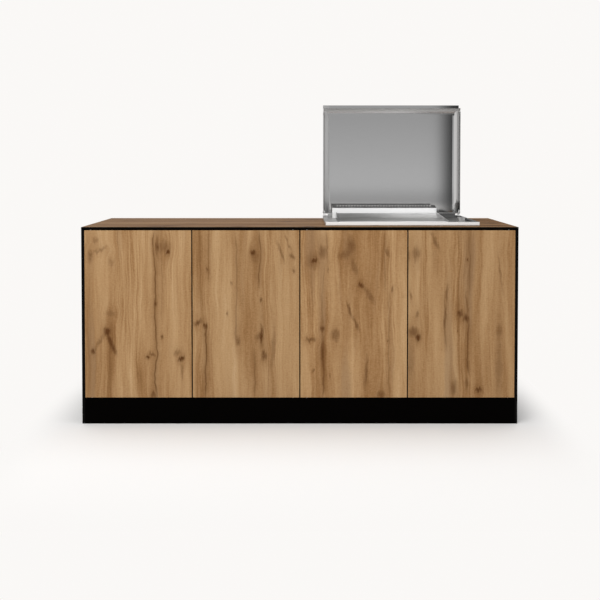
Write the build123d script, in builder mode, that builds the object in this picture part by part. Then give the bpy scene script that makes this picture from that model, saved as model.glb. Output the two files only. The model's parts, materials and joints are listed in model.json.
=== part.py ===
"""Outdoor kitchen: a four-door cabinet of black-cored boards with a lidded gas griddle let into its top.

Millimetres, +Z up. The origin is on the floor at the middle of the footprint, and the doors face -Y.
"""
import os
from math import atan2, cos, degrees, sqrt

from build123d import *

# Cabinet
WIDTH = 2000.0
DEPTH = 700.0
HEIGHT = 905.0
BOARD = 12.0
PLINTH_H = 118.0
EASE = 0.8

# Doors and their pivots
DOOR_COUNT = 4
DOOR_GAP = 4.0
DOOR_REVEAL = 2.0
PIVOT_INSET = 30.0
PIVOT_R = 3.0
PIVOT_GRIP = 24.0
BUSH_R = 4.5
BUSH_L = 8.0
BUSH_FLOOR = 1.0
RUN = 0.05
SEAT = 0.3
SWING_ROOM = 4.0

# Push latches
LATCH_INSET = 40.0
LATCH_W = 18.0
LATCH_H = 16.0
LATCH_L = 52.0
LATCH_STANDOFF = 9.0
PLUNGER_R = 4.0
PLUNGER_GRIP = 24.0
PLUNGER_TRAVEL = 3.0
STRIKE_R = 9.0
STRIKE_T = 1.0

# Rails, brackets and screws
FRONT_RAIL_D = 70.0
REAR_RAIL_D = 38.0
BRACKET_LEG = 40.0
BRACKET_W = 30.0
BRACKET_T = 3.0
BRACKET_SPOTS = (250.0, 500.0)
BRACKET_STAGGER = 60.0
SCREW_R = 2.0
SCREW_L = 10.0
HEAD_R = 4.2
HEAD_T = 2.4

# Shelf and its pins
SHELF_Z = 500.0
SHELF_SETBACK = 70.0
SHELF_PLAY = 2.0
SHELF_PIN_R = 2.5
SHELF_PIN_GRIP = 8.0
SHELF_PIN_REACH = 10.0
SHELF_PIN_EDGE = 60.0

# Levelling feet
FOOT_PAD_R = 30.0
FOOT_PAD_H = 12.0
FOOT_STEM_R = 8.0
FOOT_EDGE = 100.0
SOCKET_R = 14.0
SOCKET_H = 46.0
SOCKET_FLANGE_R = 30.0
SOCKET_FLANGE_T = 4.0

# Vents in the back
VENT_L = 120.0
VENT_W = 10.0
VENT_PITCH_X = 240.0
VENT_PITCH_Z = 22.0
VENT_COLUMNS = 3
VENT_ROWS = 3
VENT_LOW_Z = 180.0
VENT_HIGH_DROP = 133.0

# Griddle frame
GRILL_X = 481.0
GRILL_W = 720.0
GRILL_SETBACK = 100.0
GRILL_REAR_ROOM = 40.0
RIM_H = 17.0
RIM_FLANGE = 20.0
RIM_RETURN = 14.0
RIM_CORNER = 3.0
DECK_DROP = 8.0
SHEET = 1.5
GASKET_T = 1.5
GASKET_W = 12.0
CUT_MARGIN = 22.0
CUT_CORNER = 12.0

# Cooking plate, its tub and the flue behind it
PLATE_FRONT_ROOM = 58.0
PLATE_LEFT_ROOM = 66.0
CONTROL_W = 136.0
PLATE_T = 6.0
PLATE_GAP = 3.0
TROUGH_W = 46.0
TROUGH_DROP = 9.0
SLOPE_D = 61.0
SLOPE_RISE = 21.0
UPSTAND_T = 3.0
UPSTAND_FRONT = 7.0
UPSTAND_REAR = 5.0
DRAIN_R = 6.0
DRAIN_INSET = 59.0
TUB_H = 112.0
TUB_ROOM = 2.0
RAIL_W = 15.0
FLUE_LEFT_ROOM = 46.5
FLUE_RIGHT_ROOM = 138.5
FLUE_REAR_ROOM = 35.0
FLUE_D = 80.0
FLUE_GAP = 4.0
FLUE_FRONT_H = 52.0
FLUE_REAR_H = 63.0
FLUE_PORT_MARGIN = 8.0
FLUE_HOLE_R = 3.4
FLUE_HOLE_PITCH = 15.0
FLUE_HOLE_EDGE = 27.0
CUP_R = 30.0
CUP_H = 45.0

# Burner, valve and knob
BURNER_R = 12.0
BURNER_RISE = 33.0
BURNER_BEND = 45.0
BURNER_FRONT = 300.0
BURNER_REAR = 460.0
BURNER_END = 60.0
BURNER_MOUTH = 26.0
PORT_R = 1.5
PORT_PITCH = 28.0
SADDLE_T = 3.0
PIPE_R = 5.0
PIPE_BEND = 14.0
KNOB_INSET = 80.0
KNOB_SETBACK = 150.0
KNOB_R = 19.0
KNOB_H = 25.0
KNOB_PUSH = 3.0
KNOB_FOOT_GAP = 1.0
KNOB_SKIRT_R = 21.0
KNOB_SKIRT_H = 4.0
KNOB_SKIRT_SLOPE = 2.0
KNOB_SOCKET = 16.0
SPINDLE_R = 4.0
SPINDLE_PLAY = 1.0
NECK_R = 9.0
NECK_H = 22.5
VALVE_W = 34.0
VALVE_H = 32.0
VALVE_CHAMFER = 3.0
CHAMBER_R = 11.0
CHAMBER_FLOOR = 6.0
COLLAR_R = 10.0
COLLAR_T = 5.0
INLET_R = 6.58
INLET_L = 14.0
INLET_HEX = 9.5
INLET_HEX_L = 10.0
HOSE_PORT_R = 15.0

# Lid and its hinges
LID_SIDE = 1.5
LID_INSET = 1.5
LID_FRONT = 9.0
LID_DEPTH = 62.0
LID_LIFT = 4.0
LID_LIP = 18.6
LID_LIP_T = 3.0
LID_BEND = 32.0
LID_FOLD = 3.0
LID_REAR = 10.0
HINGE_RISE = 19.0
HINGE_INSET = 8.0
HINGE_R = 4.0
HINGE_HEAD_R = 7.0
HINGE_TAIL_R = 6.0
HINGE_HEAD_T = 2.0
EAR_T = 3.0
EAR_R = 10.0
EAR_GAP = 0.5
EAR_FOOT_W = 16.0
EAR_FOOT_L = 36.0
EAR_SCREW_EDGE = 8.0
EAR_FOOT_T = 2.4
EAR_ARM = 32.0
EAR_ARM_H = 8.0
RELIEF_W = 34.0
RELIEF_REACH = 12.0

# Clamps that hold the frame down
CLAMP_INSET = 12.0
CLAMP_SPOTS = (250.0, 500.0)
CLAMP_R = 3.0
CLAMP_BAR_L = 40.0
CLAMP_BAR_W = 16.0
CLAMP_BAR_T = 3.0
NUT_R = 5.8
NUT_T = 5.0

# Levels and faces worked out from the sizes above
FRONT = -DEPTH / 2
BACK = DEPTH / 2
INNER = WIDTH / 2 - BOARD
TOP_UNDER = HEIGHT - BOARD
DOOR_PITCH = 2 * INNER / DOOR_COUNT
DOOR_W = DOOR_PITCH - DOOR_GAP
DOOR_Z0 = PLINTH_H + DOOR_REVEAL
DOOR_Z1 = TOP_UNDER - DOOR_REVEAL
DOOR_MID = FRONT + BOARD / 2
DOOR_BACK = FRONT + BOARD
PIVOT_REACH = DOOR_REVEAL + BUSH_L - BUSH_FLOOR - SEAT
DOOR_SWEEP = sqrt(PIVOT_INSET**2 + (BOARD / 2) ** 2)
STUB_REACH = DOOR_MID + DOOR_SWEEP + SWING_ROOM
PARTITION_REACH = PIVOT_INSET + DOOR_GAP / 2 - BOARD / 2
PARTITION_FRONT = DOOR_MID + sqrt(DOOR_SWEEP**2 - PARTITION_REACH**2) + SWING_ROOM
RAIL_UNDER = TOP_UNDER - BOARD
BACK_INNER = BACK - BOARD
RIM_TOP = HEIGHT + RIM_H
RIM_BASE = HEIGHT + GASKET_T
DECK_Z = RIM_TOP - DECK_DROP
DECK_UNDER = DECK_Z - SHEET
GRILL_X0 = GRILL_X - GRILL_W / 2
GRILL_X1 = GRILL_X + GRILL_W / 2
GRILL_Y0 = FRONT + GRILL_SETBACK
GRILL_Y1 = BACK - GRILL_REAR_ROOM
GRILL_D = GRILL_Y1 - GRILL_Y0
GRILL_Y = (GRILL_Y0 + GRILL_Y1) / 2
FLUE_X0 = GRILL_X0 + FLUE_LEFT_ROOM
FLUE_X1 = GRILL_X1 - FLUE_RIGHT_ROOM
FLUE_X = (FLUE_X0 + FLUE_X1) / 2
FLUE_W = FLUE_X1 - FLUE_X0
FLUE_Y1 = GRILL_Y1 - FLUE_REAR_ROOM
FLUE_Y0 = FLUE_Y1 - FLUE_D
PLATE_X0 = GRILL_X0 + PLATE_LEFT_ROOM
PLATE_X1 = GRILL_X1 - CONTROL_W
PLATE_X = (PLATE_X0 + PLATE_X1) / 2
PLATE_W = PLATE_X1 - PLATE_X0
PLATE_Y0 = GRILL_Y0 + PLATE_FRONT_ROOM
PLATE_Y1 = FLUE_Y0 - FLUE_GAP
PLATE_D = PLATE_Y1 - PLATE_Y0
FLUE_TILT = atan2(FLUE_REAR_H - FLUE_FRONT_H, FLUE_D)
TUB_HALF = PLATE_W / 2 + PLATE_GAP + TUB_ROOM + SHEET
FLUE_PORT_X0 = max(FLUE_X0 + FLUE_PORT_MARGIN, PLATE_X - TUB_HALF + SHEET)
FLUE_PORT_X1 = min(FLUE_X1 - FLUE_PORT_MARGIN, PLATE_X + TUB_HALF - SHEET)
TUB_Y0 = PLATE_Y0 - PLATE_GAP - TUB_ROOM - SHEET
TUB_Y1 = FLUE_Y1 - FLUE_PORT_MARGIN + TUB_ROOM + SHEET
TUB_FLOOR = DECK_UNDER - TUB_H
BURNER_Z = TUB_FLOOR + SHEET + BURNER_RISE
KNOB_X = GRILL_X1 - KNOB_INSET
KNOB_Y = FRONT + KNOB_SETBACK
KNOB_Z0 = DECK_Z + KNOB_PUSH + KNOB_FOOT_GAP
VALVE_TOP = DECK_UNDER - NECK_H
VALVE_FLOOR = VALVE_TOP - VALVE_H
CHAMBER_TOP = VALVE_TOP - CHAMBER_FLOOR
CHAMBER_BASE = VALVE_FLOOR + CHAMBER_FLOOR
INLET_Z = (VALVE_FLOOR + VALVE_TOP) / 2
COLLAR_Z = CHAMBER_TOP - SEAT - COLLAR_T
LID_HALF = GRILL_W / 2 - LID_INSET
HINGE_Y = GRILL_Y1 - HINGE_INSET
HINGE_Z = RIM_TOP + HINGE_RISE
LID_Z0 = HINGE_Z - LID_REAR
LID_Z1 = LID_Z0 + LID_REAR + HINGE_Y - GRILL_Y0 + LID_FRONT
LID_Y0 = HINGE_Y - HINGE_RISE + LID_LIFT
LID_Y1 = LID_Y0 + LID_DEPTH
EAR_FACE = LID_HALF - LID_SIDE - EAR_GAP
EAR_Y0 = GRILL_Y1 - EAR_FOOT_L

os.makedirs("parts", exist_ok=True)


def save(part, name):
    """Label a finished piece and write it under its own name."""
    part.label = name
    export_step(part, f"parts/{name}.step")


def span(x0, x1, y0, y1, z0, z1, mode=Mode.ADD):
    """Add or cut a block between two corners."""
    with Locations(((x0 + x1) / 2, (y0 + y1) / 2, (z0 + z1) / 2)):
        Box(x1 - x0, y1 - y0, z1 - z0, mode=mode)


def post(x, y, z0, z1, radius, mode=Mode.ADD):
    """Add or cut an upright cylinder."""
    with Locations((x, y, (z0 + z1) / 2)):
        Cylinder(radius, z1 - z0, mode=mode)


def rod_x(x0, x1, y, z, radius, mode=Mode.ADD):
    """Add or cut a cylinder along X."""
    with Locations(((x0 + x1) / 2, y, z)):
        Cylinder(radius, abs(x1 - x0), rotation=(0, 90, 0), mode=mode)


def rod_y(x, y0, y1, z, radius, mode=Mode.ADD):
    """Add or cut a cylinder along Y."""
    with Locations((x, (y0 + y1) / 2, z)):
        Cylinder(radius, abs(y1 - y0), rotation=(90, 0, 0), mode=mode)


def ordered(a, b):
    """Two numbers, lower first."""
    return (a, b) if a < b else (b, a)


# Door places: each door's left edge, pivot and latch, with the pairs opening from their middles
DOOR_NAMES = ("door_far_left", "door_mid_left", "door_mid_right", "door_far_right")
doors = []
for index, door_name in enumerate(DOOR_NAMES):
    left = -INNER + index * DOOR_PITCH + DOOR_GAP / 2
    right = left + DOOR_W
    if index % 2 == 0:
        doors.append((door_name, left, left + PIVOT_INSET, right - LATCH_INSET))
    else:
        doors.append((door_name, left, right - PIVOT_INSET, left + LATCH_INSET))

# Bracket places: the board face that each bracket stands on, the way it points, and its depth
bracket_spots = []
bracket_faces = ((-INNER, 1, 0), (-BOARD / 2, -1, 0), (BOARD / 2, 1, BRACKET_STAGGER), (INNER, -1, 0))
for face, way, stagger in bracket_faces:
    for depth in BRACKET_SPOTS:
        bracket_spots.append((face, way, FRONT + depth + stagger))

# Side panels, with pilot holes for the brackets and for the shelf on the left
shelf_pin_ys = (FRONT + SHELF_SETBACK + SHELF_PIN_EDGE, BACK_INNER - SHELF_PIN_EDGE)
SHELF_PIN_Z = SHELF_Z - SHELF_PIN_R


def bracket_pilots(face):
    """Cut the screw holes of the brackets that stand on one board face."""
    for spot, way, y in bracket_spots:
        if spot == face:
            reach = face - way * (SCREW_L - BRACKET_T)
            rod_x(face, reach, y, TOP_UNDER - BRACKET_LEG / 2, SCREW_R, Mode.SUBTRACT)


for side, way in (("left", -1), ("right", 1)):
    with BuildPart() as side_panel:
        span(*ordered(way * INNER, way * WIDTH / 2), FRONT, BACK, 0, TOP_UNDER)
        chamfer(side_panel.edges().filter_by(Axis.Z).group_by(Axis.X)[0 if way < 0 else -1], EASE)
        bracket_pilots(way * INNER)
        if way < 0:
            for y in shelf_pin_ys:
                rod_x(-INNER, -INNER - SHELF_PIN_GRIP, y, SHELF_PIN_Z, SHELF_PIN_R, Mode.SUBTRACT)
    save(side_panel.part, f"side_panel_{side}")

# Centre partition that carries the two middle doors' cabinet walls
with BuildPart() as centre_partition:
    span(-BOARD / 2, BOARD / 2, PARTITION_FRONT, BACK_INNER, PLINTH_H, TOP_UNDER)
    bracket_pilots(-BOARD / 2)
    bracket_pilots(BOARD / 2)
    for y in shelf_pin_ys:
        rod_x(-BOARD / 2, -BOARD / 2 + SHELF_PIN_GRIP, y, SHELF_PIN_Z, SHELF_PIN_R, Mode.SUBTRACT)
save(centre_partition.part, "centre_partition")

# Worktop, cut out for the griddle, with blind holes for the pivot bushes and the screws
with BuildPart() as worktop:
    span(-WIDTH / 2, WIDTH / 2, FRONT, BACK, TOP_UNDER, HEIGHT)
    chamfer(worktop.edges().group_by(Axis.Z)[-1], EASE)
    with BuildSketch(Plane.XY.offset(TOP_UNDER)):
        with Locations((GRILL_X, GRILL_Y)):
            RectangleRounded(GRILL_W - 2 * CUT_MARGIN, GRILL_D - 2 * CUT_MARGIN, CUT_CORNER)
    extrude(amount=BOARD, mode=Mode.SUBTRACT)
    for _, _, pivot_x, _ in doors:
        post(pivot_x, DOOR_MID, TOP_UNDER, TOP_UNDER + BUSH_L, BUSH_R, Mode.SUBTRACT)
    for face, way, y in bracket_spots:
        screw_x = face + way * BRACKET_LEG / 2
        post(screw_x, y, TOP_UNDER, TOP_UNDER + SCREW_L - BRACKET_T, SCREW_R, Mode.SUBTRACT)
save(worktop.part, "worktop")

# Plinth board, flush with the doors
with BuildPart() as plinth:
    span(-INNER, INNER, FRONT, DOOR_BACK, 0, PLINTH_H)
    for _, _, pivot_x, _ in doors:
        post(pivot_x, DOOR_MID, PLINTH_H - BUSH_L, PLINTH_H, BUSH_R, Mode.SUBTRACT)
save(plinth.part, "plinth")

# Floor of the cabinets
with BuildPart() as base_deck:
    span(-INNER, INNER, DOOR_BACK, BACK_INNER, PLINTH_H - BOARD, PLINTH_H)
save(base_deck.part, "base_deck")

# Back panels with a low and a high bank of vent slots, and the hose port on the griddle's side
for side, way in (("left", -1), ("right", 1)):
    with BuildPart() as back_panel:
        span(*ordered(0, way * INNER), BACK_INNER, BACK, 0, TOP_UNDER)
        for vent_z in (VENT_LOW_Z, TOP_UNDER - VENT_HIGH_DROP):
            with BuildSketch(Plane.XZ.offset(-BACK)):
                with Locations((way * INNER / 2, vent_z)):
                    with GridLocations(VENT_PITCH_X, VENT_PITCH_Z, VENT_COLUMNS, VENT_ROWS):
                        SlotOverall(VENT_L, VENT_W)
            extrude(amount=BOARD, mode=Mode.SUBTRACT)
        if way > 0:
            rod_y(KNOB_X, BACK_INNER, BACK, INLET_Z, HOSE_PORT_R, Mode.SUBTRACT)
    save(back_panel.part, f"back_panel_{side}")

# Rails under the worktop, in front of and behind the griddle
for side, way in (("left", -1), ("right", 1)):
    ends = ordered(way * BOARD / 2, way * INNER)
    with BuildPart() as front_rail:
        span(*ends, STUB_REACH, STUB_REACH + FRONT_RAIL_D, RAIL_UNDER, TOP_UNDER)
    save(front_rail.part, f"front_rail_{side}")
    with BuildPart() as rear_rail:
        span(*ends, BACK_INNER - REAR_RAIL_D, BACK_INNER, RAIL_UNDER, TOP_UNDER)
        if way > 0:
            rod_y(KNOB_X, BACK_INNER - REAR_RAIL_D, BACK_INNER, INLET_Z, HOSE_PORT_R, Mode.SUBTRACT)
    save(rear_rail.part, f"rear_rail_{side}")

# Angle brackets between the upright boards and the worktop
with BuildPart() as corner_brackets:
    for face, way, y in bracket_spots:
        x0, x1 = ordered(face, face + way * BRACKET_LEG)
        span(x0, x1, y - BRACKET_W / 2, y + BRACKET_W / 2, TOP_UNDER - BRACKET_T, TOP_UNDER)
        x0, x1 = ordered(face, face + way * BRACKET_T)
        span(x0, x1, y - BRACKET_W / 2, y + BRACKET_W / 2, TOP_UNDER - BRACKET_LEG, TOP_UNDER)
        post(face + way * BRACKET_LEG / 2, y, TOP_UNDER - BRACKET_T, TOP_UNDER, SCREW_R, Mode.SUBTRACT)
        screw_z = TOP_UNDER - BRACKET_LEG / 2
        rod_x(face, face + way * BRACKET_T, y, screw_z, SCREW_R, Mode.SUBTRACT)
save(corner_brackets.part, "corner_brackets")

# Screws through both legs of each bracket
with BuildPart() as bracket_screws:
    for face, way, y in bracket_spots:
        screw_x = face + way * BRACKET_LEG / 2
        head_z = TOP_UNDER - BRACKET_T
        post(screw_x, y, head_z, head_z + SCREW_L, SCREW_R)
        post(screw_x, y, head_z - HEAD_T, head_z, HEAD_R)
        screw_z = TOP_UNDER - BRACKET_LEG / 2
        head_x = face + way * BRACKET_T
        rod_x(head_x - way * SCREW_L, head_x, y, screw_z, SCREW_R)
        rod_x(head_x, head_x + way * HEAD_T, y, screw_z, HEAD_R)
save(bracket_screws.part, "bracket_screws")

# Shelf in the left cabinet, on four pins
with BuildPart() as shelf:
    shelf_x0 = -INNER + SHELF_PLAY
    shelf_x1 = -BOARD / 2 - SHELF_PLAY
    span(shelf_x0, shelf_x1, FRONT + SHELF_SETBACK, BACK_INNER - SHELF_PLAY, SHELF_Z, SHELF_Z + BOARD)
    chamfer(shelf.edges().filter_by(Axis.X).group_by(Axis.Y)[0], EASE)
save(shelf.part, "shelf")

with BuildPart() as shelf_pins:
    for y in shelf_pin_ys:
        rod_x(-INNER - SHELF_PIN_GRIP, -INNER + SHELF_PIN_REACH, y, SHELF_PIN_Z, SHELF_PIN_R)
        pin_end = -BOARD / 2 - SHELF_PIN_REACH
        rod_x(pin_end, -BOARD / 2 + SHELF_PIN_GRIP, y, SHELF_PIN_Z, SHELF_PIN_R)
save(shelf_pins.part, "shelf_pins")

# Levelling feet in sockets under the cabinet floor
foot_spots = []
for x in (-WIDTH / 2 + FOOT_EDGE, 0, WIDTH / 2 - FOOT_EDGE):
    for y in (FRONT + FOOT_EDGE, BACK - FOOT_EDGE):
        foot_spots.append((x, y))
SOCKET_TOP = PLINTH_H - BOARD

with BuildPart() as foot_sockets:
    for x, y in foot_spots:
        post(x, y, SOCKET_TOP - SOCKET_H, SOCKET_TOP, SOCKET_R)
        post(x, y, SOCKET_TOP - SOCKET_FLANGE_T, SOCKET_TOP, SOCKET_FLANGE_R)
        post(x, y, SOCKET_TOP - SOCKET_H, SOCKET_TOP - SOCKET_FLANGE_T, FOOT_STEM_R, Mode.SUBTRACT)
save(foot_sockets.part, "foot_sockets")

with BuildPart() as levelling_feet:
    for x, y in foot_spots:
        post(x, y, 0, FOOT_PAD_H, FOOT_PAD_R)
        post(x, y, FOOT_PAD_H, SOCKET_TOP - SOCKET_FLANGE_T - SEAT, FOOT_STEM_R)
    pad_rims = levelling_feet.edges().filter_by_position(Axis.Z, FOOT_PAD_H, FOOT_PAD_H)
    chamfer(pad_rims.sort_by(SortBy.LENGTH)[-len(foot_spots):], FOOT_PAD_H / 3)
save(levelling_feet.part, "levelling_feet")

# Doors, each with two pivot pins in its edges and a strike disc for its latch
LATCH_Z = RAIL_UNDER - LATCH_H / 2
for door_name, left, pivot_x, latch_x in doors:
    with BuildPart() as door:
        span(left, left + DOOR_W, FRONT, DOOR_BACK, DOOR_Z0, DOOR_Z1)
        chamfer(door.edges().group_by(Axis.Y)[0], EASE)
        post(pivot_x, DOOR_MID, DOOR_Z1 - PIVOT_GRIP, DOOR_Z1, PIVOT_R, Mode.SUBTRACT)
        post(pivot_x, DOOR_MID, DOOR_Z0, DOOR_Z0 + PIVOT_GRIP, PIVOT_R, Mode.SUBTRACT)
    save(door.part, door_name)
    with BuildPart() as pivot_pins:
        post(pivot_x, DOOR_MID, DOOR_Z1 - PIVOT_GRIP, DOOR_Z1 + PIVOT_REACH, PIVOT_R)
        post(pivot_x, DOOR_MID, DOOR_Z0 - PIVOT_REACH, DOOR_Z0 + PIVOT_GRIP, PIVOT_R)
    save(pivot_pins.part, door_name.replace("door", "pivot_pins"))
    with BuildPart() as strike:
        rod_y(latch_x, DOOR_BACK, DOOR_BACK + STRIKE_T, LATCH_Z, STRIKE_R)
    save(strike.part, door_name.replace("door", "strike"))

# Cup bushes for the pivots, in the worktop and in the plinth
with BuildPart() as pivot_bushes:
    for _, _, pivot_x, _ in doors:
        post(pivot_x, DOOR_MID, TOP_UNDER, TOP_UNDER + BUSH_L, BUSH_R)
        post(pivot_x, DOOR_MID, TOP_UNDER, TOP_UNDER + BUSH_L - BUSH_FLOOR, PIVOT_R + RUN, Mode.SUBTRACT)
        post(pivot_x, DOOR_MID, PLINTH_H - BUSH_L, PLINTH_H, BUSH_R)
        post(pivot_x, DOOR_MID, PLINTH_H - BUSH_L + BUSH_FLOOR, PLINTH_H, PIVOT_R + RUN, Mode.SUBTRACT)
save(pivot_bushes.part, "pivot_bushes")

# Push latches on the front rails, with a sprung plunger behind each strike
LATCH_Y0 = DOOR_BACK + STRIKE_T + LATCH_STANDOFF
LATCH_Y1 = LATCH_Y0 + LATCH_L
TIP_Y = DOOR_BACK + STRIKE_T + SEAT
LATCH_BORE = PLUNGER_GRIP + PLUNGER_TRAVEL + SWING_ROOM

with BuildPart() as latch_bodies:
    for _, _, _, latch_x in doors:
        x0 = latch_x - LATCH_W / 2
        span(x0, x0 + LATCH_W, LATCH_Y0, LATCH_Y1, LATCH_Z - LATCH_H / 2, LATCH_Z + LATCH_H / 2)
        rod_y(latch_x, LATCH_Y0, LATCH_Y0 + LATCH_BORE, LATCH_Z, PLUNGER_R + RUN, Mode.SUBTRACT)
save(latch_bodies.part, "latch_bodies")

for door_name, _, _, latch_x in doors:
    with BuildPart() as plunger:
        rod_y(latch_x, TIP_Y, LATCH_Y0 + PLUNGER_GRIP, LATCH_Z, PLUNGER_R)
        fillet(plunger.edges().group_by(Axis.Y)[0], PLUNGER_R / 3)
    save(plunger.part, door_name.replace("door", "plunger"))

# Foam gasket between the griddle frame and the worktop
with BuildPart() as frame_gasket:
    with BuildSketch(Plane.XY.offset(HEIGHT)):
        with Locations((GRILL_X, GRILL_Y)):
            Rectangle(GRILL_W - 2 * RIM_CORNER, GRILL_D - 2 * RIM_CORNER)
            inset = 2 * (RIM_CORNER + GASKET_W)
            Rectangle(GRILL_W - inset, GRILL_D - inset, mode=Mode.SUBTRACT)
    extrude(amount=GASKET_T)
save(frame_gasket.part, "frame_gasket")

# Griddle frame: a folded rim round a sunken deck, open over the tub, under the flue and at the knob
clamp_spots = []
for way in (-1, 1):
    for depth in CLAMP_SPOTS:
        clamp_x = GRILL_X + way * (GRILL_W / 2 - CUT_MARGIN - CLAMP_INSET)
        clamp_spots.append((clamp_x, FRONT + depth, way))
ear_screw_spots = []
for way in (-1, 1):
    for screw_y in (EAR_Y0 + EAR_SCREW_EDGE, GRILL_Y1 - EAR_SCREW_EDGE):
        screw_x = GRILL_X + way * (EAR_FACE - EAR_T - (EAR_FOOT_W - EAR_T) / 2)
        ear_screw_spots.append((screw_x, screw_y))


def frame_ring(outer, inner, z0, z1):
    """Cut a rectangular ring out of the frame, given its insets from the frame's outline."""
    with BuildSketch(Plane.XY.offset(z0)) as ring:
        with Locations((GRILL_X, GRILL_Y)):
            Rectangle(GRILL_W - 2 * outer, GRILL_D - 2 * outer)
            if inner:
                Rectangle(GRILL_W - 2 * inner, GRILL_D - 2 * inner, mode=Mode.SUBTRACT)
    extrude(ring.sketch, amount=z1 - z0, mode=Mode.SUBTRACT)


with BuildPart() as grill_frame:
    with BuildSketch(Plane.XY.offset(RIM_BASE)):
        with Locations((GRILL_X, GRILL_Y)):
            RectangleRounded(GRILL_W, GRILL_D, RIM_CORNER)
    extrude(amount=RIM_TOP - RIM_BASE)
    chamfer(grill_frame.edges().group_by(Axis.Z)[-1], EASE)
    frame_ring(RIM_FLANGE, 0, DECK_Z, RIM_TOP)
    frame_ring(RIM_RETURN, 0, RIM_BASE, DECK_UNDER)
    frame_ring(SHEET, RIM_FLANGE - SHEET, RIM_BASE + SHEET, RIM_TOP - SHEET)
    with BuildSketch(Plane.XY.offset(DECK_UNDER)):
        with Locations((PLATE_X, (PLATE_Y0 + PLATE_Y1) / 2)):
            Rectangle(PLATE_W + 2 * PLATE_GAP, PLATE_D + 2 * PLATE_GAP)
        with Locations(((FLUE_PORT_X0 + FLUE_PORT_X1) / 2, (FLUE_Y0 + FLUE_Y1) / 2)):
            Rectangle(FLUE_PORT_X1 - FLUE_PORT_X0, FLUE_D - 2 * FLUE_PORT_MARGIN)
        with Locations((KNOB_X, KNOB_Y)):
            Circle(SPINDLE_R + SPINDLE_PLAY)
    extrude(amount=SHEET, mode=Mode.SUBTRACT)
    for x, y in ear_screw_spots:
        post(x, y, RIM_TOP - SHEET, RIM_TOP, SCREW_R, Mode.SUBTRACT)
save(grill_frame.part, "grill_frame")

# Clamps: studs under the deck, bars that bear on the worktop's underside, and nuts
STUD_END = TOP_UNDER - CLAMP_BAR_T - NUT_T - 2 * SHEET
with BuildPart() as clamp_studs:
    for x, y, _ in clamp_spots:
        post(x, y, STUD_END, DECK_UNDER, CLAMP_R)
save(clamp_studs.part, "clamp_studs")

with BuildPart() as clamp_bars:
    for x, y, way in clamp_spots:
        x0, x1 = ordered(x - way * CLAMP_BAR_W / 2, x + way * (CLAMP_BAR_L - CLAMP_BAR_W / 2))
        span(x0, x1, y - CLAMP_BAR_W / 2, y + CLAMP_BAR_W / 2, TOP_UNDER - CLAMP_BAR_T, TOP_UNDER)
        post(x, y, TOP_UNDER - CLAMP_BAR_T, TOP_UNDER, CLAMP_R, Mode.SUBTRACT)
save(clamp_bars.part, "clamp_bars")

with BuildPart() as clamp_nuts:
    nut_top = TOP_UNDER - CLAMP_BAR_T
    with BuildSketch(Plane.XY.offset(nut_top - NUT_T)):
        with Locations([(x, y) for x, y, _ in clamp_spots]):
            RegularPolygon(NUT_R, 6)
            Circle(CLAMP_R, mode=Mode.SUBTRACT)
    extrude(amount=NUT_T)
save(clamp_nuts.part, "clamp_nuts")

# Burner tub hung under the deck, with air slots in its floor and a hole for the burner's mouth
with BuildPart() as burner_tub:
    tub_x0 = PLATE_X - TUB_HALF
    tub_x1 = PLATE_X + TUB_HALF
    span(tub_x0, tub_x1, TUB_Y0, TUB_Y1, TUB_FLOOR, DECK_UNDER)
    inner_x = (tub_x0 + SHEET, tub_x1 - SHEET)
    span(*inner_x, TUB_Y0 + SHEET, TUB_Y1 - SHEET, TUB_FLOOR + SHEET, DECK_UNDER, Mode.SUBTRACT)
    with BuildSketch(Plane.XY.offset(TUB_FLOOR)):
        with Locations((PLATE_X, FRONT + (BURNER_FRONT + BURNER_REAR) / 2)):
            with GridLocations(VENT_L, BURNER_REAR - BURNER_FRONT, VENT_COLUMNS, 2):
                SlotOverall(VENT_L / 2, VENT_W)
    extrude(amount=SHEET, mode=Mode.SUBTRACT)
    rod_x(tub_x1 - SHEET, tub_x1, FRONT + BURNER_FRONT, BURNER_Z, BURNER_R + SEAT, Mode.SUBTRACT)
save(burner_tub.part, "burner_tub")

# Angle rails on the tub's sides that carry the plate
RAIL_Y0 = PLATE_Y0 + TROUGH_W + PLATE_T + PLATE_GAP
RAIL_Y1 = PLATE_Y1 - SLOPE_D
with BuildPart() as plate_rails:
    for way in (-1, 1):
        wall = PLATE_X + way * (TUB_HALF - SHEET)
        span(*ordered(wall, wall - way * RAIL_W), RAIL_Y0, RAIL_Y1, DECK_UNDER - SHEET, DECK_UNDER)
        span(*ordered(wall, wall - way * SHEET), RAIL_Y0, RAIL_Y1, DECK_UNDER - RAIL_W, DECK_UNDER)
save(plate_rails.part, "plate_rails")

# Cooking plate: one folded section with a grease trough, a raised back and tapering sides
plate_under = [
    (PLATE_Y0, DECK_UNDER),
    (PLATE_Y0 + PLATE_T, DECK_UNDER - TROUGH_DROP),
    (PLATE_Y0 + TROUGH_W, DECK_UNDER - TROUGH_DROP),
    (PLATE_Y0 + TROUGH_W + PLATE_T, DECK_UNDER),
    (PLATE_Y1 - SLOPE_D, DECK_UNDER),
    (PLATE_Y1, DECK_UNDER + SLOPE_RISE),
]
plate_over = [(y, z + PLATE_T) for y, z in reversed(plate_under)]
PLATE_HIGH = DECK_UNDER + SLOPE_RISE + PLATE_T + UPSTAND_REAR
PLATE_LOW = DECK_UNDER + PLATE_T + UPSTAND_FRONT

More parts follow.
